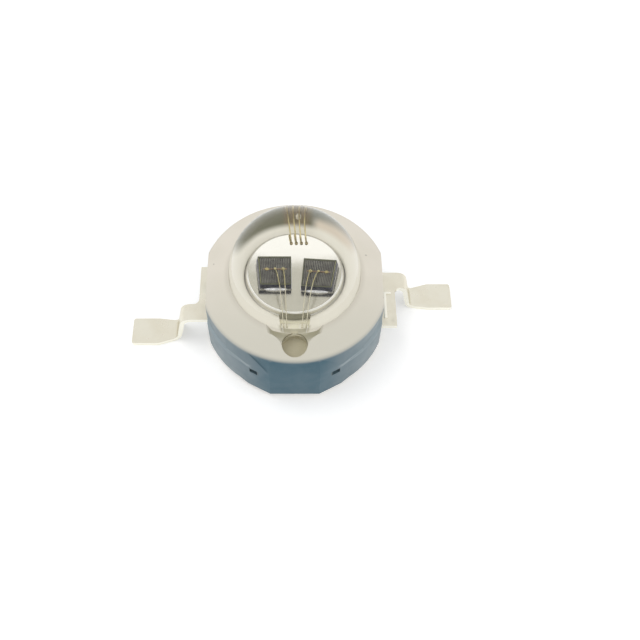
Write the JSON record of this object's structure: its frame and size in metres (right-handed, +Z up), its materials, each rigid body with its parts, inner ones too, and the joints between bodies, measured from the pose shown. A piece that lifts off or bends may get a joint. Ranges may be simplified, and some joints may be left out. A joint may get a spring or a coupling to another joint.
{
  "type": "high-power infrared led",
  "caption": "Surface-mount infrared emitter: round moulded housing, clear dome lens over two dark dies with gold bond wires, metal heat slug below and gull-wing leads at the sides.",
  "frame": {"origin": "centre of the base face of the heat slug, in the plane that the solder pads stand on", "axes": "+X towards the lead on the right of the picture, +Y away from the picture's viewer, +Z up through the lens"},
  "size_m": [0.0144, 0.0082, 0.0064],
  "materials": {
    "silver_plate": "satin silver plating on copper",
    "white_plastic": "matte moulded, warm white",
    "clear_lens": "clear and polished",
    "clear_gel": "clear soft silicone",
    "dark_die": "dark grey semiconductor with fine fingers",
    "grey_attach": "grey conductive paste",
    "gold": "bright gold"
  },
  "bodies": {
    "root": {"heat_slug": "silver_plate", "housing": "white_plastic", "lens_dome": "clear_lens", "silicone_gel": "clear_gel", "lead_left": "silver_plate", "lead_right": "silver_plate", "die_left": "dark_die", "die_right": "dark_die", "die_attach_left": "grey_attach", "die_attach_right": "grey_attach", "contact_bar_left": "gold", "contact_bar_right": "gold", "front_wire_1": "gold", "front_wire_2": "gold", "front_wire_3": "gold", "front_wire_4": "gold", "back_wire_1": "gold", "back_wire_2": "gold", "back_wire_3": "gold", "back_wire_4": "gold"}
  },
  "joints": []
}
